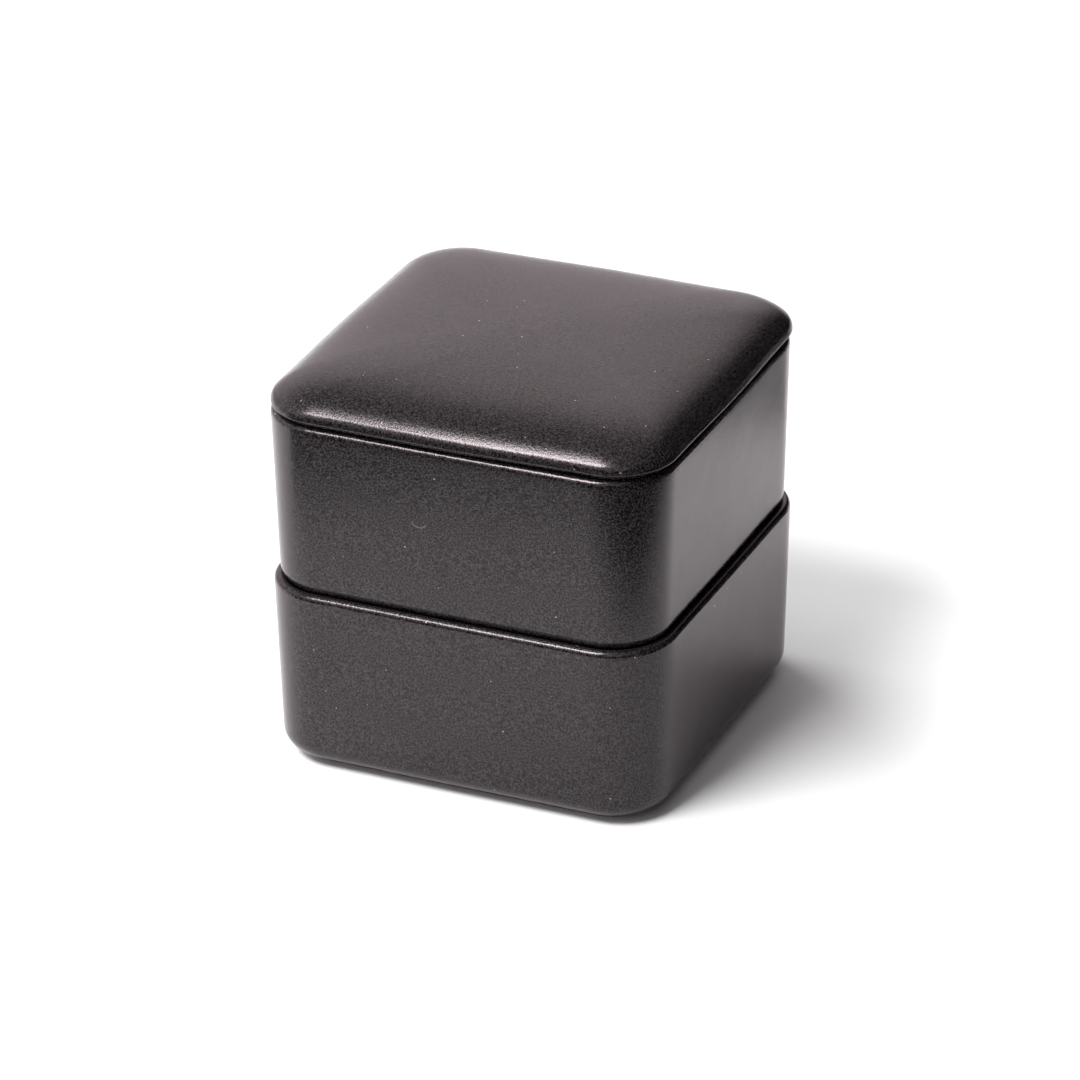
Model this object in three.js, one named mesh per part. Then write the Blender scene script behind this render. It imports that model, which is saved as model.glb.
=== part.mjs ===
// A stacking sugar bowl set in black satin-glazed stoneware: two square bowls and one lid.
//
// Each piece is one casting. The upper bowl nests by its rounded base edge in the mouth of the
// lower bowl, and the lid sits on the upper rim with a locating flange hanging inside the mouth.
// Units are millimetres, +Z is up, and the origin is on the table under the middle of the set.

import * as THREE from 'three';

// Driving dimensions.
const LOWER_RIM_HALF = 45.0; // half the width of the lower bowl at its rim
const UPPER_RIM_HALF = 44.7; // the upper bowl came out of the kiln a little narrower
const DRAFT = 1.0; // how far each outer wall leans in from rim to base, per side
const BOWL_HEIGHT = 41.7; // foot to rim
const CORNER_RADIUS = 14.2; // plan radius of the outer corners at the rim
const BOW = 0.1; // how far the middle of each side stands proud of its ends
const BASE_EDGE_RADIUS = 4.4; // rounding between the outer wall and the base
const RIM_RADIUS = 1.3; // the rim is a full half round
const BASE_WALL = 3.8; // wall thickness just above the inner floor
const FLOOR_THICKNESS = 4.2; // base thickness, from the foot's top to the inner floor
const INNER_FILLET = 6.0; // rounding between the inner wall and the inner floor
const MIN_CORNER = 5.0; // the tightest plan corner of any outline

const FOOT_HEIGHT = 1.4; // the foot ring lifts the glazed base off the table
const FOOT_WIDTH = 3.0; // width of the ring that touches the table
const FOOT_INSET = 0.6; // step between the base's flat and the foot ring
const FOOT_RECESS = 1.7; // depth of the base inside the foot ring

const SEAT_GAP = 0.25; // clearance left between pieces that rest on each other

const LID_HALF = 44.7; // half the width of the lid at its widest
const LID_CORNER = 13.3; // plan radius of the lid's corners
const LID_BOW = 0.45; // the lid's sides bow out more than the bowls' sides
const LID_WIDEST = 1.45; // height of the lid's widest line above the plane that faces the rim
const LID_UNDER_RADIUS = 0.35; // tight rounding below the widest line; a bevel runs in from it
const LID_UNDER_END = 45; // degrees below level where that rounding gives way to the bevel
const LID_EDGE_RADIUS = 2.65; // rounding above the widest line
const LID_EDGE_END = 45; // degrees from level where the edge gives way to the crown
const CROWN_SLOPE = 0.1; // how fast the crown steepens from the middle outwards
const CROWN_FALL = 10; // power of the extra steepening that joins the crown to the edge
const CROWN_STATIONS = [0.965, 0.93, 0.88, 0.81, 0.7, 0.5, 0.3]; // crown rings, as fractions of the half
const CEILING_STATIONS = [0.3, 0.55, 0.75]; // rings of the surface under the crown
const LID_THICKNESS = 4.6; // thickness of the lid inside its flange
const FLANGE_DEPTH = 4.0; // how far the locating flange hangs into the mouth
const FLANGE_WIDTH = 3.0; // thickness of the flange
const FLANGE_CLEARANCE = 1.2; // gap between the flange and the mouth, per side
const FLANGE_BEVEL = 0.6; // lead-in on the flange's lower edges

// Fineness of the surfaces.
const OUTLINE_STEPS = 4; // segments along each side; each corner gets twice as many
const PROFILE_STEPS = 3; // half the number of segments in each rounding of the profile

// Finish shared by the three castings.
const GLAZE = { color: 0x3b3738, roughness: 0.42, metalness: 0.1 };

const QUARTER = Math.PI / 2;

// The points of a path, without the doubled ones where one curve meets the next.
function distinctPoints(path, steps) {
  const tolerance = 1e-6;
  const points = path.getPoints(steps);
  return points.filter((point, index) => index === 0 || point.distanceTo(points[index - 1]) > tolerance);
}

// A rounded square outline with slightly bowed sides, counter-clockwise seen from above.
function outline(half, corner, bow) {
  const path = new THREE.Path();
  const straight = half - corner;
  path.moveTo(half, -straight);
  for (let side = 0; side < 4; side += 1) {
    const turn = side * QUARTER;
    const place = (x, y) => new THREE.Vector2(x, y).rotateAround(new THREE.Vector2(), turn);
    const crest = place(half + 2 * bow, 0);
    const end = place(half, straight);
    const centre = place(straight, straight);
    path.quadraticCurveTo(crest.x, crest.y, end.x, end.y);
    path.absarc(centre.x, centre.y, corner, turn, turn + QUARTER, false);
  }
  const points = distinctPoints(path, OUTLINE_STEPS);
  points.pop();
  return points;
}

// Sweeps a profile of (half-width, height) points around rounded square outlines.
// The profile starts and ends on the axis, and runs out below and back in above.
function loft(profile, bow, cornerAt) {
  const rings = profile.slice(1, -1).map((point) => {
    const ring = outline(point.x, cornerAt(point.x), bow);
    return ring.map(({ x, y }) => new THREE.Vector3(x, y, point.y));
  });
  const count = rings[0].length;
  const bottom = new THREE.Vector3(0, 0, profile[0].y);
  const top = new THREE.Vector3(0, 0, profile[profile.length - 1].y);
  const topIndex = rings.length * count + 1;
  const at = (ring, index) => 1 + ring * count + (index % count);
  const faces = [];
  for (let index = 0; index < count; index += 1) {
    faces.push(0, at(0, index + 1), at(0, index));
    faces.push(at(rings.length - 1, index), at(rings.length - 1, index + 1), topIndex);
    for (let ring = 0; ring < rings.length - 1; ring += 1) {
      faces.push(at(ring, index), at(ring, index + 1), at(ring + 1, index));
      faces.push(at(ring, index + 1), at(ring + 1, index + 1), at(ring + 1, index));
    }
  }
  const geometry = new THREE.BufferGeometry().setFromPoints([bottom, ...rings.flat(), top]);
  geometry.setIndex(faces);
  geometry.computeVertexNormals();
  return geometry;
}

// One bowl, standing on its foot at height 0.
function bowlGeometry(rimHalf) {
  const baseHalf = rimHalf - DRAFT;
  const flatHalf = baseHalf - BASE_EDGE_RADIUS;
  const footOuter = flatHalf - FOOT_INSET;
  const footInner = footOuter - FOOT_WIDTH;
  const floor = FOOT_HEIGHT + FLOOR_THICKNESS;
  const innerHalf = baseHalf - BASE_WALL;
  const rimCentre = BOWL_HEIGHT - RIM_RADIUS;

  const path = new THREE.Path();
  path.moveTo(0, FOOT_RECESS);
  path.lineTo(footInner, FOOT_RECESS);
  path.lineTo(footInner, 0);
  path.lineTo(footOuter, 0);
  path.lineTo(footOuter, FOOT_HEIGHT);
  path.lineTo(flatHalf, FOOT_HEIGHT);
  path.absarc(flatHalf, FOOT_HEIGHT + BASE_EDGE_RADIUS, BASE_EDGE_RADIUS, -QUARTER, 0, false);
  path.lineTo(rimHalf, rimCentre);
  path.absarc(rimHalf - RIM_RADIUS, rimCentre, RIM_RADIUS, 0, Math.PI, false);
  path.lineTo(innerHalf, floor + INNER_FILLET);
  path.absarc(innerHalf - INNER_FILLET, floor + INNER_FILLET, INNER_FILLET, 0, -QUARTER, true);
  path.lineTo(0, floor);
  const cornerAt = (half) => Math.max(CORNER_RADIUS - (rimHalf - half), MIN_CORNER);
  return loft(distinctPoints(path, PROFILE_STEPS), BOW, cornerAt);
}

// How far the crown has dropped from its top, at a distance from the axis.
function crownDrop(distance) {
  const edgeEnd = THREE.MathUtils.degToRad(LID_EDGE_END);
  const start = 1 - LID_EDGE_RADIUS * (1 - Math.cos(edgeEnd)) / LID_HALF;
  const extra = (1 / Math.tan(edgeEnd) - CROWN_SLOPE * start) / start ** CROWN_FALL;
  const fraction = distance / LID_HALF;
  const even = CROWN_SLOPE * fraction ** 2 / 2;
  const steepening = extra * fraction ** (CROWN_FALL + 1) / (CROWN_FALL + 1);
  return LID_HALF * (even + steepening);
}

// The lid, with the plane that faces the rim at height 0.
function lidGeometry(mouthHalf) {
  const flangeOuter = mouthHalf - FLANGE_CLEARANCE;
  const flangeInner = flangeOuter - FLANGE_WIDTH;
  const edgeEnd = THREE.MathUtils.degToRad(LID_EDGE_END);
  const underEnd = THREE.MathUtils.degToRad(-LID_UNDER_END);
  const underCentre = new THREE.Vector2(LID_HALF - LID_UNDER_RADIUS, LID_WIDEST);
  const bevelTop = LID_WIDEST + LID_UNDER_RADIUS * Math.sin(underEnd);
  const bevelOuter = underCentre.x + LID_UNDER_RADIUS * Math.cos(underEnd);
  const bevelInner = bevelOuter + bevelTop / Math.tan(underEnd);
  const edgeCentre = new THREE.Vector2(LID_HALF - LID_EDGE_RADIUS, LID_WIDEST);
  const crownStart = edgeCentre.x + LID_EDGE_RADIUS * Math.cos(edgeEnd);
  const crownTop = edgeCentre.y + LID_EDGE_RADIUS * Math.sin(edgeEnd) + crownDrop(crownStart);
  const ceilingTop = crownTop - LID_THICKNESS;

  const path = new THREE.Path();
  path.moveTo(0, ceilingTop);
  for (const station of CEILING_STATIONS) {
    const distance = station * LID_HALF;
    path.lineTo(distance, ceilingTop - crownDrop(distance));
  }
  path.lineTo(flangeInner, ceilingTop - crownDrop(flangeInner));
  path.lineTo(flangeInner, FLANGE_BEVEL - FLANGE_DEPTH);
  path.lineTo(flangeInner + FLANGE_BEVEL, -FLANGE_DEPTH);
  path.lineTo(flangeOuter - FLANGE_BEVEL, -FLANGE_DEPTH);
  path.lineTo(flangeOuter, FLANGE_BEVEL - FLANGE_DEPTH);
  path.lineTo(flangeOuter, 0);
  path.lineTo(bevelInner, 0);
  path.absarc(underCentre.x, underCentre.y, LID_UNDER_RADIUS, underEnd, 0, false);
  path.absarc(edgeCentre.x, edgeCentre.y, LID_EDGE_RADIUS, 0, edgeEnd, false);
  for (const station of CROWN_STATIONS) {
    const distance = station * LID_HALF;
    path.lineTo(distance, crownTop - crownDrop(distance));
  }
  path.lineTo(0, crownTop);
  const cornerAt = (half) => {
    const inset = LID_HALF - half;
    const edge = Math.min(Math.max(LID_CORNER - inset, MIN_CORNER), half);
    return THREE.MathUtils.lerp(edge, half, (inset / LID_HALF) ** 2);
  };
  return loft(distinctPoints(path, PROFILE_STEPS), LID_BOW, cornerAt);
}

// How high a bowl must stand so that its base edge clears the rim below it by the seat gap.
function nestedHeight(upperHalf, lowerHalf) {
  const across = lowerHalf - RIM_RADIUS - (upperHalf - DRAFT - BASE_EDGE_RADIUS);
  const apart = RIM_RADIUS + BASE_EDGE_RADIUS + SEAT_GAP;
  const up = Math.sqrt(apart ** 2 - across ** 2);
  return BOWL_HEIGHT - RIM_RADIUS + up - BASE_EDGE_RADIUS - FOOT_HEIGHT;
}

function casting(name, geometry, height) {
  const mesh = new THREE.Mesh(geometry, new THREE.MeshStandardMaterial(GLAZE));
  mesh.name = name;
  mesh.position.z = height;
  return mesh;
}

const upperStand = nestedHeight(UPPER_RIM_HALF, LOWER_RIM_HALF);
const lidStand = upperStand + BOWL_HEIGHT + SEAT_GAP;
const mouthHalf = UPPER_RIM_HALF - 2 * RIM_RADIUS;

const sugarBowl = new THREE.Group();
sugarBowl.add(casting('lower_bowl', bowlGeometry(LOWER_RIM_HALF), 0));
sugarBowl.add(casting('upper_bowl', bowlGeometry(UPPER_RIM_HALF), upperStand));
sugarBowl.add(casting('lid', lidGeometry(mouthHalf), lidStand));

export default sugarBowl;
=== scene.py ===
# A stacking sugar bowl set in satin black stoneware: two square bowls and a lid on a pale studio floor.
# Lengths in the shape functions are millimetres, and the meshes are made in metres, in the CAD frame.

import math

import bpy
import numpy as np
from mathutils import Matrix, Vector, noise

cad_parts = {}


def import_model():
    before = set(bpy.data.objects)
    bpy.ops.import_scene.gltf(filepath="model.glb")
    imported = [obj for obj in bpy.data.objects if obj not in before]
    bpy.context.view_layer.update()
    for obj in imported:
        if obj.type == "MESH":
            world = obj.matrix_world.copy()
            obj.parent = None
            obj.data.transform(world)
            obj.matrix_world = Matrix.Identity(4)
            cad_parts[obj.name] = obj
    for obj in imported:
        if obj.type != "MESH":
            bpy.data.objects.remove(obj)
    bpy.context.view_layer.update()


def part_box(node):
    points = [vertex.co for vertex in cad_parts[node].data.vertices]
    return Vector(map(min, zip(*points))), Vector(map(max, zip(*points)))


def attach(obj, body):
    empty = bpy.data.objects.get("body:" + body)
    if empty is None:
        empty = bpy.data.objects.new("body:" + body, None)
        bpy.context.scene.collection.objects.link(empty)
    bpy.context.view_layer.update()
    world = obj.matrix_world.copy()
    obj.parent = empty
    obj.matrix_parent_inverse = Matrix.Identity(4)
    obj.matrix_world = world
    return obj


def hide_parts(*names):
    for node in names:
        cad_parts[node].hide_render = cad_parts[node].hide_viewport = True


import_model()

MM = 0.001

# Bowls.
RIM_RADIUS = 1.3  # the rim is a full half round
WALL_BOW = 0.1  # how far the middle of each side stands proud of its ends
DRAFT = 1.0  # lean of the outer wall between the two roundings
BOWL_CORNER = 14.2  # plan radius of the outer corners at the rim
BASE_EDGE_RADIUS = 4.4
BASE_WALL = 3.8
FLOOR_THICKNESS = 4.2
INNER_FILLET = 6.0
FOOT_HEIGHT = 1.4
FOOT_WIDTH = 3.0
FOOT_INSET = 0.6
FOOT_RECESS = 1.7
FOOT_ROUNDING = 0.3
BARE_HEIGHT = 0.8  # the glaze is wiped off this far up the foot rings and the lid's flange

# Lid.
LID_BOW = 0.45
LID_CORNER = 13.3
LID_WIDEST = 1.65  # height of the widest line above the rim
LID_UNDER_RADIUS = 0.35  # tight rounding below the widest line; a bevel runs in from it
LID_UNDER_END = 45.0  # degrees below level where that rounding gives way to the bevel
LID_EDGE_RADIUS = 2.65
LID_EDGE_END = 47.0  # degrees from level where the edge gives way to the crown
CROWN_SLOPE = 0.10  # how fast the crown steepens from the middle outwards
CROWN_FALL = 9  # power of the extra steepening that joins the crown to the edge
CROWN_BLEND = 1.5  # power by which the crown's rings turn from the lid's corners to circles
UNDER_BLEND = 2.0  # the same for the rings under the widest line
LID_THICKNESS = 4.6
LID_GAP = 0.08  # the lid rests on the rim, clear of both surfaces' unevenness
LID_SHIFT = Vector((0.42, -0.18, 0.0)) * MM  # the lid lies a little off the middle
LID_TURN = 0.28  # degrees by which it is turned
FLANGE_DEPTH = 4.0
FLANGE_WIDTH = 3.0
FLANGE_CLEARANCE = 1.2
FLANGE_ROUNDING = 0.6
FLANGE_ROOT = 1.2

# Fineness and hand-made unevenness of the surfaces.
ARC_STEP = 6.0  # degrees of a profile's arc between two rings
LONG_STEP = 1.5  # the longest stretch between two rings
SAME_POINT = 1e-6  # profile points nearer than this are one point
SIDE_SEGMENTS = 28
CORNER_SEGMENTS = 18
WAVE_HEIGHT = 0.05
WAVE_LENGTH = 17.0


# ---------------------------------------------------------------- shapes

def arc(centre, radius, start, end):
    """Points along an arc of the profile; 0 degrees points outwards and 90 up."""
    swept = abs(end - start)
    count = math.ceil(max(2, swept / ARC_STEP, math.radians(swept) * radius / LONG_STEP))
    angles = np.radians(np.linspace(start, end, count + 1))
    return [(centre[0] + radius * math.cos(a), centre[1] + radius * math.sin(a)) for a in angles]


def rounded(corners):
    """A profile through (half-width, height, radius) corners, each corner rounded by its radius."""
    points = []
    for index, (x, z, radius) in enumerate(corners):
        here = Vector((x, z))
        if radius == 0 or index in (0, len(corners) - 1):
            points.append((x, z))
            continue
        back = (Vector(corners[index - 1][:2]) - here).normalized()
        ahead = (Vector(corners[index + 1][:2]) - here).normalized()
        half_angle = back.angle(ahead) / 2
        centre = here + (back + ahead).normalized() * radius / math.sin(half_angle)
        first = here + back * radius / math.tan(half_angle) - centre
        last = here + ahead * radius / math.tan(half_angle) - centre
        start = math.degrees(math.atan2(first.y, first.x))
        turn = math.degrees(first.angle_signed(last))
        points += arc(centre, radius, start, start - turn)
    return points


def subdivided(points):
    """The same profile with its long straight stretches cut into shorter ones."""
    fine = [points[0]]
    for a, b in zip(points, points[1:]):
        length = math.dist(a, b)
        if length < SAME_POINT:
            continue
        count = math.ceil(length / LONG_STEP)
        for step in range(1, count + 1):
            t = step / count
            fine.append((a[0] + (b[0] - a[0]) * t, a[1] + (b[1] - a[1]) * t))
    return fine


def outline(half, corner, bow):
    """A rounded square with gently bowed sides, counter-clockwise seen from above."""
    straight = half - corner
    points = []
    for side in range(4):
        turn = Matrix.Rotation(side * math.pi / 2, 2)
        for step in range(SIDE_SEGMENTS):
            t = 2 * step / SIDE_SEGMENTS - 1
            swell = bow * math.cos(t * math.pi / 2) ** 2
            points.append(turn @ Vector((half + swell, t * straight)))
        for step in range(CORNER_SEGMENTS):
            a = step / CORNER_SEGMENTS * math.pi / 2
            reach = Vector((math.cos(a), math.sin(a))) * corner
            points.append(turn @ (Vector((straight, straight)) + reach))
    return points


def unevenness(point, seed):
    """The slight hand-made swell of the surface at a point, in millimetres."""
    return WAVE_HEIGHT * noise.noise(point / WAVE_LENGTH + Vector((seed, 0, 0)))


def loft(name, profile, bow, corner_at, height, seed):
    """A closed mesh whose rings are rounded squares that follow the profile from axis to axis."""
    rings = profile[1:-1]
    count = 4 * (SIDE_SEGMENTS + CORNER_SEGMENTS)
    vertices = [Vector((0, 0, profile[0][1]))]
    for half, z in rings:
        vertices += [Vector((p.x, p.y, z)) for p in outline(half, corner_at(half, z), bow)]
    vertices.append(Vector((0, 0, profile[-1][1])))
    top = len(vertices) - 1
    faces = []
    for index in range(count):
        following = (index + 1) % count
        faces.append((0, 1 + following, 1 + index))
        for ring in range(len(rings) - 1):
            low = 1 + ring * count
            high = low + count
            faces.append((low + index, low + following, high + following, high + index))
        last = 1 + (len(rings) - 1) * count
        faces.append((last + index, last + following, top))
    mesh = bpy.data.meshes.new(name)
    mesh.from_pydata([tuple(v) for v in vertices], [], faces)
    normals = [vertex.normal.copy() for vertex in mesh.vertices]
    lift = Vector((0, 0, height))
    places = [(v + n * unevenness(v, seed) + lift) * MM for v, n in zip(vertices, normals)]
    mesh.vertices.foreach_set("co", np.array(places, dtype=np.float32).ravel())
    mesh.update()
    mesh.shade_smooth()
    piece = bpy.data.objects.new(name, mesh)
    bpy.context.scene.collection.objects.link(piece)
    return piece


def rim_half(node, bow):
    """Half the width of a node at the ends of its sides."""
    low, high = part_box(node)
    return (high.x - low.x) / 2 / MM - bow


def bowl(name, node, seed):
    low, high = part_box(node)
    tall = (high.z - low.z) / MM
    half = rim_half(node, WALL_BOW)
    wall_low = FOOT_HEIGHT + BASE_EDGE_RADIUS
    slope = DRAFT / (tall - RIM_RADIUS - wall_low)
    base = half - DRAFT - slope * BASE_EDGE_RADIUS
    foot_outer = half - DRAFT - BASE_EDGE_RADIUS - FOOT_INSET
    foot_inner = foot_outer - FOOT_WIDTH
    floor = FOOT_HEIGHT + FLOOR_THICKNESS
    profile = rounded([
        (0, FOOT_RECESS, 0),
        (foot_inner, FOOT_RECESS, FOOT_ROUNDING),
        (foot_inner, 0, FOOT_ROUNDING),
        (foot_outer, 0, FOOT_ROUNDING),
        (foot_outer, FOOT_HEIGHT, FOOT_ROUNDING),
        (base, FOOT_HEIGHT, BASE_EDGE_RADIUS),
        (half + slope * RIM_RADIUS, tall, RIM_RADIUS),
        (half - 2 * RIM_RADIUS, tall, RIM_RADIUS),
        (half - DRAFT - BASE_WALL, floor, INNER_FILLET),
        (0, floor, 0),
    ])

    def corner_at(ring_half, _):
        inset = half - ring_half
        near_edge = BOWL_CORNER / half * math.exp(-inset / BOWL_CORNER)
        return ring_half * (near_edge + (inset / half) ** 2)
    return loft(name, subdivided(profile), WALL_BOW, corner_at, low.z / MM, seed)


def crown_drop(distance, half):
    """How far the lid's crown has dropped from its top, at a distance from the axis."""
    edge_end = math.radians(LID_EDGE_END)
    start = 1 - LID_EDGE_RADIUS * (1 - math.cos(edge_end)) / half
    extra = (1 / math.tan(edge_end) - CROWN_SLOPE * start) / start ** CROWN_FALL
    fraction = distance / half
    steepening = extra * fraction ** (CROWN_FALL + 1) / (CROWN_FALL + 1)
    return half * (CROWN_SLOPE * fraction ** 2 / 2 + steepening)


def lid(name, node, seed):
    half = rim_half(node, LID_BOW)
    mouth = rim_half("upper_bowl", WALL_BOW) - 2 * RIM_RADIUS
    flange_outer = mouth - FLANGE_CLEARANCE
    flange_inner = flange_outer - FLANGE_WIDTH
    edge = arc((half - LID_EDGE_RADIUS, LID_WIDEST), LID_EDGE_RADIUS, 0, LID_EDGE_END)
    reach, height = edge[-1]
    top = height + crown_drop(reach, half)
    inwards = np.linspace(reach, 0, math.ceil(reach / LONG_STEP))
    crown = [(x, top - crown_drop(x, half)) for x in inwards]
    ceiling = [(x, z - LID_THICKNESS) for x, z in reversed(crown) if x < flange_inner - FLANGE_ROOT]
    root = top - LID_THICKNESS - crown_drop(flange_inner, half)
    lower_edge = arc((half - LID_UNDER_RADIUS, LID_WIDEST), LID_UNDER_RADIUS, -LID_UNDER_END, 0)
    bevel_outer, bevel_top = lower_edge[0]
    bevel_inner = bevel_outer - bevel_top / math.tan(math.radians(LID_UNDER_END))
    under = rounded([
        (*ceiling[-1], 0),
        (flange_inner, root, FLANGE_ROOT),
        (flange_inner, -FLANGE_DEPTH, FLANGE_ROUNDING),
        (flange_outer, -FLANGE_DEPTH, FLANGE_ROUNDING),
        (flange_outer, 0, FLANGE_ROUNDING),
        (bevel_inner, 0, 0),
    ])

    def corner_at(ring_half, z):
        inset = half - ring_half
        edge = LID_CORNER * math.exp(-inset / LID_CORNER)
        blend = (inset / half) ** (CROWN_BLEND if z > LID_WIDEST else UNDER_BLEND)
        return edge + (ring_half - edge) * blend
    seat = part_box("upper_bowl")[1].z / MM + LID_GAP
    profile = subdivided(ceiling + under + lower_edge + edge + crown)
    piece = loft(name, profile, LID_BOW, corner_at, seat, seed)
    turn = Matrix.Rotation(math.radians(LID_TURN), 4, "Z")
    piece.data.transform(Matrix.Translation(LID_SHIFT) @ turn)
    return piece


# ---------------------------------------------------------------- materials

def new_material(name):
    """A material with an empty node tree, a Principled shader and its output."""
    material = bpy.data.materials.new(name)
    material.use_nodes = True
    tree = material.node_tree
    tree.nodes.clear()
    output = tree.nodes.new("ShaderNodeOutputMaterial")
    shader = tree.nodes.new("ShaderNodeBsdfPrincipled")
    tree.links.new(shader.outputs["BSDF"], output.inputs["Surface"])
    return material, tree, shader


def add(tree, kind, links=None, **settings):
    """A node of that kind; links maps its inputs to sockets, and settings sets inputs or properties."""
    node = tree.nodes.new(kind)
    for key, value in settings.items():
        if key in node.bl_rna.properties:
            setattr(node, key, value)
        else:
            node.inputs[key].default_value = value
    for key, socket in (links or {}).items():
        tree.links.new(socket, node.inputs[key])
    return node


def map_range(tree, socket, source, target):
    """A socket's value carried from one range to another, and held at the ends."""
    node = add(tree, "ShaderNodeMapRange", {"Value": socket})
    node.inputs["From Min"].default_value, node.inputs["From Max"].default_value = source
    node.inputs["To Min"].default_value, node.inputs["To Max"].default_value = target
    return node.outputs["Result"]


# Glaze. Noise scales are in cells per metre.
GRAIN_SCALE = 2300.0
GRAIN_RANGE = (0.38, 0.75)  # noise levels at which the grain is darkest and palest
GRAIN_DARK = (0.0015, 0.0013, 0.0013, 1)
GRAIN_PALE = (0.055, 0.050, 0.0512, 1)
GRAIN_DEPTH = 0.04 * MM
CLOUD_SCALE = 160.0
SHEEN_RANGE = (0.6, 1.4)  # levels of grain and clouds together, and the roughness at those levels
ROUGHNESS_RANGE = (0.14, 0.25)
SPECK_SCALE = 420.0
SPECK_SIZE = 0.08  # radius of a speck, in cells
SPECK_LEVEL = 0.88  # cells whose random level is above this hold a speck
SPECK_COLOUR = (0.26, 0.24, 0.23, 1)
MARK_CENTRE = Vector((-6.4, -44.5, 64.3)) * MM  # of a faint crescent on the front of the upper bowl
MARK_RADIUS = 1.9 * MM
MARK_HALF_WIDTH = MARK_RADIUS / 12
MARK_TOP = MARK_CENTRE.z - MARK_RADIUS / 2
MARK_STRENGTH = 0.25
GLAZE_METALLIC = 0.4
GLAZE_IOR = 1.54
GLAZE_TINT = (1.0, 0.90, 0.93, 1)


def calculate(tree, operation, socket, *levels):
    """A math node of that operation on a socket, with its further inputs set to the levels."""
    node = add(tree, "ShaderNodeMath", {0: socket}, operation=operation)
    for index, level in enumerate(levels, start=1):
        node.inputs[index].default_value = level
    return node.outputs[0]


def combine(tree, operation, first, second):
    """A math node of that operation on two sockets."""
    return add(tree, "ShaderNodeMath", {0: first, 1: second}, operation=operation).outputs[0]


def two_tone(tree, socket, positions, colours):
    """A colour ramp with two stops."""
    ramp = add(tree, "ShaderNodeValToRGB", {"Fac": socket})
    for element, position, colour in zip(ramp.color_ramp.elements, positions, colours):
        element.position = position
        element.color = colour
    return ramp.outputs["Color"]


def speck_mask(tree, place):
    """1 where a sparse random speck lies, and 0 elsewhere."""
    cells = add(tree, "ShaderNodeTexVoronoi", {"Vector": place}, Scale=SPECK_SCALE, Randomness=1.0)
    level = add(tree, "ShaderNodeSeparateColor", {"Color": cells.outputs["Color"]}).outputs["Red"]
    near = calculate(tree, "LESS_THAN", cells.outputs["Distance"], SPECK_SIZE)
    rare = calculate(tree, "GREATER_THAN", level, SPECK_LEVEL)
    return combine(tree, "MULTIPLY", near, rare)


def mark_mask(tree, place):
    """MARK_STRENGTH along the lower arc of a small ring, which is the crescent, and 0 elsewhere."""
    reach = add(tree, "ShaderNodeVectorMath", {0: place}, operation="DISTANCE")
    reach.inputs[1].default_value = MARK_CENTRE
    ring = calculate(tree, "COMPARE", reach.outputs["Value"], MARK_RADIUS, MARK_HALF_WIDTH)
    height = add(tree, "ShaderNodeSeparateXYZ", {0: place}).outputs["Z"]
    crescent = combine(tree, "MULTIPLY", ring, calculate(tree, "LESS_THAN", height, MARK_TOP))
    return calculate(tree, "MULTIPLY", crescent, MARK_STRENGTH)


def glaze_material():
    """Satin black glaze: a fine pitted grain, sparse pale specks, and the crescent."""
    material, tree, shader = new_material("satin_black_glaze")
    place = add(tree, "ShaderNodeTexCoord").outputs["Object"]
    pits = add(tree, "ShaderNodeTexNoise", {"Vector": place}, Scale=GRAIN_SCALE, Detail=2.0, Roughness=0.7)
    clouds = add(tree, "ShaderNodeTexNoise", {"Vector": place}, Scale=CLOUD_SCALE, Detail=3.0, Roughness=0.6)
    paint = add(tree, "ShaderNodeMix", data_type="RGBA")
    pale = combine(tree, "MAXIMUM", speck_mask(tree, place), mark_mask(tree, place))
    tree.links.new(pale, paint.inputs["Factor"])
    grain = two_tone(tree, pits.outputs["Fac"], GRAIN_RANGE, (GRAIN_DARK, GRAIN_PALE))
    tree.links.new(grain, paint.inputs[6])
    paint.inputs[7].default_value = SPECK_COLOUR
    tree.links.new(paint.outputs[2], shader.inputs["Base Color"])
    sheen = combine(tree, "ADD", clouds.outputs["Fac"], pits.outputs["Fac"])
    tree.links.new(map_range(tree, sheen, SHEEN_RANGE, ROUGHNESS_RANGE), shader.inputs["Roughness"])
    bump = add(tree, "ShaderNodeBump", {"Height": pits.outputs["Fac"]}, Strength=1.0, Distance=GRAIN_DEPTH)
    tree.links.new(bump.outputs["Normal"], shader.inputs["Normal"])
    shader.inputs["Metallic"].default_value = GLAZE_METALLIC
    shader.inputs["IOR"].default_value = GLAZE_IOR
    shader.inputs["Specular Tint"].default_value = GLAZE_TINT
    return material


# Bare fired clay.
GRIT_SCALE = 1500.0
GRIT_RANGE = (0.35, 0.65)
GRIT_DARK = (0.10, 0.075, 0.06, 1)
GRIT_PALE = (0.21, 0.17, 0.14, 1)
GRIT_DEPTH = 0.08 * MM
CLAY_ROUGHNESS = 0.85


def clay_material():
    """The fired clay where the glaze was wiped off: matt, dark and finely speckled."""
    material, tree, shader = new_material("bare_stoneware")
    place = add(tree, "ShaderNodeTexCoord").outputs["Object"]
    grit = add(tree, "ShaderNodeTexNoise", {"Vector": place}, Scale=GRIT_SCALE, Detail=4.0, Roughness=0.7)
    colour = two_tone(tree, grit.outputs["Fac"], GRIT_RANGE, (GRIT_DARK, GRIT_PALE))
    tree.links.new(colour, shader.inputs["Base Color"])
    bump = add(tree, "ShaderNodeBump", {"Height": grit.outputs["Fac"]}, Strength=1.0, Distance=GRIT_DEPTH)
    tree.links.new(bump.outputs["Normal"], shader.inputs["Normal"])
    shader.inputs["Roughness"].default_value = CLAY_ROUGHNESS
    return material


# White paper.
TOOTH_SCALE = 900.0
PAPER_DARK = (0.775, 0.79, 0.79, 1)
PAPER_PALE = (0.80, 0.82, 0.82, 1)


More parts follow.
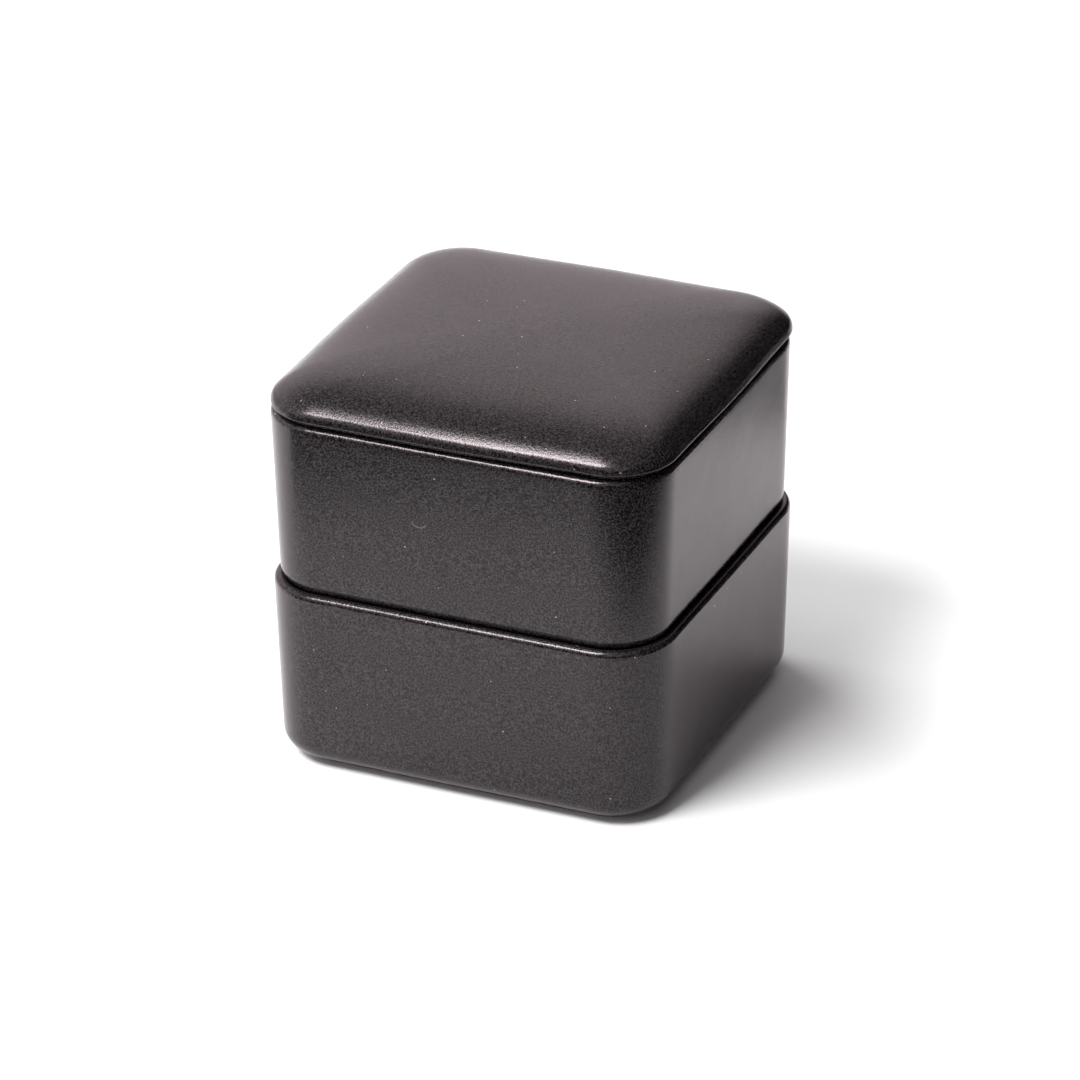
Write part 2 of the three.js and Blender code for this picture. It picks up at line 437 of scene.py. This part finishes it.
def floor_material():
    """A matt white paper sweep with a barely visible tooth."""
    material, tree, shader = new_material("white_paper")
    place = add(tree, "ShaderNodeTexCoord").outputs["Object"]
    tooth = add(tree, "ShaderNodeTexNoise", {"Vector": place}, Scale=TOOTH_SCALE, Detail=3.0, Roughness=0.6)
    colour = two_tone(tree, tooth.outputs["Fac"], (0.0, 1.0), (PAPER_DARK, PAPER_PALE))
    tree.links.new(colour, shader.inputs["Base Color"])
    shader.inputs["Roughness"].default_value = 1.0
    shader.inputs["Specular IOR Level"].default_value = 0.0
    return material


def card_material():
    """A black studio card, which neither glows nor takes light."""
    material = bpy.data.materials.new("black_card")
    material.use_nodes = True
    tree = material.node_tree
    tree.nodes.clear()
    output = tree.nodes.new("ShaderNodeOutputMaterial")
    glow = add(tree, "ShaderNodeEmission", Color=(0, 0, 0, 1), Strength=0.0)
    tree.links.new(glow.outputs["Emission"], output.inputs["Surface"])
    return material


# ---------------------------------------------------------------- studio

# Angles are in degrees, distances in metres, and the lens is in millimetres.
CAMERA_AZIMUTH = 23.794
CAMERA_ELEVATION = 26.78
CAMERA_ROLL = -0.619
CAMERA_DISTANCE = 1.1934
CAMERA_LENS = 187.46
SENSOR_WIDTH = 36.0
CAMERA_REACH = 50.0
CAMERA_AIM = Vector((0.0, 0.0, 0.0419))
CAMERA_OFFSET = Vector((0.000995, -0.00158))  # sideways and upwards, before the roll

KEY_DIRECTION = Vector((-0.229, -0.523, 0.82))
KEY_DISTANCE = 1.4
KEY_SIZE = (0.50, 0.56)  # height and width
KEY_RADIANCE = 30.0
KEY_COLOUR = (1.0, 0.985, 0.98)
FILL_DIRECTION = Vector((-0.75, 0.2, 0.62))
FILL_DISTANCE = 1.5
FILL_SIZE = 1.2
FILL_RADIANCE = 4.6

# What the glaze mirrors: a white floor this far out, and a dark room beyond it in front and at the right.
TABLE_REACH = 0.175
CORNER_WAY = Vector((0.82, -0.57, 0.0))  # the dark room comes this much nearer off the near corner
CORNER_BITE = 0.03
CORNER_SHARPNESS = 4  # power by which that fades away from the corner
CARD_COUNT = 16
CARD_HEIGHT = MM  # just clear of the floor
DARK_SECTOR = (-150.0, 62.0)  # the dark floor's directions, anticlockwise from +X
DARK_DIRECTION = Vector((0.940, 0.342, -0.37))  # the dark wall: where this dot the direction is high
DARK_RANGE = (0.0, 0.30)
FRONT_DIRECTION = Vector((0.0, -0.95, -2.2))  # the same for the dark low wall in front
FRONT_RANGE = (0.0, 0.35)
WORLD_STRENGTH = 1.28
WORLD_TINT = (1.0, 0.93, 0.945)
WORLD_LEVELS = ((0.0, 0.74), (0.2, 0.8), (0.42, 1.0), (0.6, 0.75), (0.85, 0.32))  # height, brightness
FLOOR_SIZE = 6.0


def camera():
    """A long lens that looks down on the near corner from the front right."""
    azimuth = math.radians(CAMERA_AZIMUTH)
    elevation = math.radians(CAMERA_ELEVATION)
    roll = math.radians(CAMERA_ROLL)
    back = Vector((
        math.sin(azimuth) * math.cos(elevation),
        -math.cos(azimuth) * math.cos(elevation),
        math.sin(elevation),
    ))
    level = Vector((math.cos(azimuth), math.sin(azimuth), 0))
    upright = back.cross(level)
    right = level * math.cos(roll) + upright * math.sin(roll)
    up = upright * math.cos(roll) - level * math.sin(roll)
    place = CAMERA_AIM + level * CAMERA_OFFSET.x + upright * CAMERA_OFFSET.y + back * CAMERA_DISTANCE
    data = bpy.data.cameras.new("camera")
    data.lens = CAMERA_LENS
    data.sensor_width = SENSOR_WIDTH
    data.clip_end = CAMERA_REACH
    item = bpy.data.objects.new("camera", data)
    item.matrix_world = Matrix.Translation(place) @ Matrix((right, up, back)).transposed().to_4x4()
    bpy.context.scene.collection.objects.link(item)
    bpy.context.scene.camera = item


def key_light():
    """A softbox high at the front left. Its reflection is the band on the lid's front edge."""
    data = bpy.data.lights.new("softbox", "AREA")
    data.shape = "RECTANGLE"
    data.size, data.size_y = KEY_SIZE
    data.energy = KEY_RADIANCE * math.pi * KEY_SIZE[0] * KEY_SIZE[1]
    data.color = KEY_COLOUR
    item = bpy.data.objects.new("softbox", data)
    direction = KEY_DIRECTION.normalized()
    item.location = CAMERA_AIM + direction * KEY_DISTANCE
    item.rotation_euler = direction.to_track_quat("Z", "X").to_euler()
    bpy.context.scene.collection.objects.link(item)


def fill_light():
    """A broad soft light high at the left that lifts the floor's shadow and is not seen in the glaze."""
    data = bpy.data.lights.new("fill", "AREA")
    data.shape = "SQUARE"
    data.size = FILL_SIZE
    data.energy = FILL_RADIANCE * math.pi * FILL_SIZE ** 2
    item = bpy.data.objects.new("fill", data)
    direction = FILL_DIRECTION.normalized()
    item.location = direction * FILL_DISTANCE
    item.rotation_euler = direction.to_track_quat("Z", "X").to_euler()
    item.visible_glossy = False
    bpy.context.scene.collection.objects.link(item)


def plane(name, corners, material):
    """A flat one-faced piece of the studio, which isn't part of the object."""
    mesh = bpy.data.meshes.new(name)
    mesh.from_pydata([tuple(c) for c in corners], [], [range(len(corners))])
    mesh.materials.append(material)
    item = bpy.data.objects.new(name, mesh)
    bpy.context.scene.collection.objects.link(item)
    return item


def floor():
    reach = FLOOR_SIZE / 2
    corners = [(-reach, -reach, 0), (reach, -reach, 0), (reach, reach, 0), (-reach, reach, 0)]
    plane("studio_floor", corners, floor_material())


def dark_room():
    """Black cards on the floor some way out, seen only in the glaze."""
    material = card_material()
    angles = np.radians(np.linspace(*DARK_SECTOR, CARD_COUNT + 1))
    for index, (a, b) in enumerate(zip(angles, angles[1:])):
        ways = [Vector((math.cos(t), math.sin(t), 0)) for t in (a, b)]
        bites = [CORNER_BITE * max(0, way.dot(CORNER_WAY)) ** CORNER_SHARPNESS for way in ways]
        near = [way * (TABLE_REACH - bite) for way, bite in zip(ways, bites)]
        far = [way * FLOOR_SIZE / 2 for way in reversed(ways)]
        card = plane(f"black_card_{index}", near + far, material)
        card.location.z = CARD_HEIGHT
        card.visible_camera = False
        card.visible_diffuse = False
        card.visible_shadow = False


def world():
    """A white studio, dimmer overhead, and dark at the right and low in front; white to the camera."""
    studio = bpy.data.worlds.new("studio")
    bpy.context.scene.world = studio
    studio.use_nodes = True
    tree = studio.node_tree
    tree.nodes.clear()
    output = tree.nodes.new("ShaderNodeOutputWorld")
    direction = add(tree, "ShaderNodeTexCoord").outputs["Generated"]
    height = add(tree, "ShaderNodeSeparateXYZ", {0: direction}).outputs["Z"]
    ramp = add(tree, "ShaderNodeValToRGB", {"Fac": height})
    while len(ramp.color_ramp.elements) < len(WORLD_LEVELS):
        ramp.color_ramp.elements.new(1.0)
    for element, (position, level) in zip(ramp.color_ramp.elements, WORLD_LEVELS):
        element.position = position
        element.color = (*(level * part for part in WORLD_TINT), 1)
    side = add(tree, "ShaderNodeVectorMath", {0: direction}, operation="DOT_PRODUCT")
    side.inputs[1].default_value = DARK_DIRECTION
    open_side = map_range(tree, side.outputs["Value"], DARK_RANGE, (WORLD_STRENGTH, 0.0))
    ahead = add(tree, "ShaderNodeVectorMath", {0: direction}, operation="DOT_PRODUCT")
    ahead.inputs[1].default_value = FRONT_DIRECTION
    open_front = map_range(tree, ahead.outputs["Value"], FRONT_RANGE, (1.0, 0.0))
    strength = add(tree, "ShaderNodeMath", {0: open_side, 1: open_front}, operation="MULTIPLY")
    levels = {"Color": ramp.outputs["Color"], "Strength": strength.outputs[0]}
    around = add(tree, "ShaderNodeBackground", levels)
    seen = add(tree, "ShaderNodeBackground", Color=(1, 1, 1, 1), Strength=1.0)
    path = add(tree, "ShaderNodeLightPath")
    choice = add(tree, "ShaderNodeMixShader", {0: path.outputs["Is Camera Ray"]})
    tree.links.new(around.outputs[0], choice.inputs[1])
    tree.links.new(seen.outputs[0], choice.inputs[2])
    tree.links.new(choice.outputs[0], output.inputs["Surface"])


# ---------------------------------------------------------------- the set

glaze = glaze_material()
clay = clay_material()
PIECES = (
    ("lower_bowl_ware", "lower_bowl", bowl),
    ("upper_bowl_ware", "upper_bowl", bowl),
    ("lid_ware", "lid", lid),
)
for seed, (name, node, build) in enumerate(PIECES):
    ware = build(name, node, seed)
    ware.data.materials.append(glaze)
    ware.data.materials.append(clay)
    lowest = min(corner[2] for corner in ware.bound_box)
    for face in ware.data.polygons:
        face.material_index = int(face.center.z < lowest + BARE_HEIGHT * MM)
    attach(ware, node)
    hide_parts(node)

camera()
key_light()
fill_light()
floor()
dark_room()
world()
bpy.context.scene.view_settings.view_transform = "Standard"
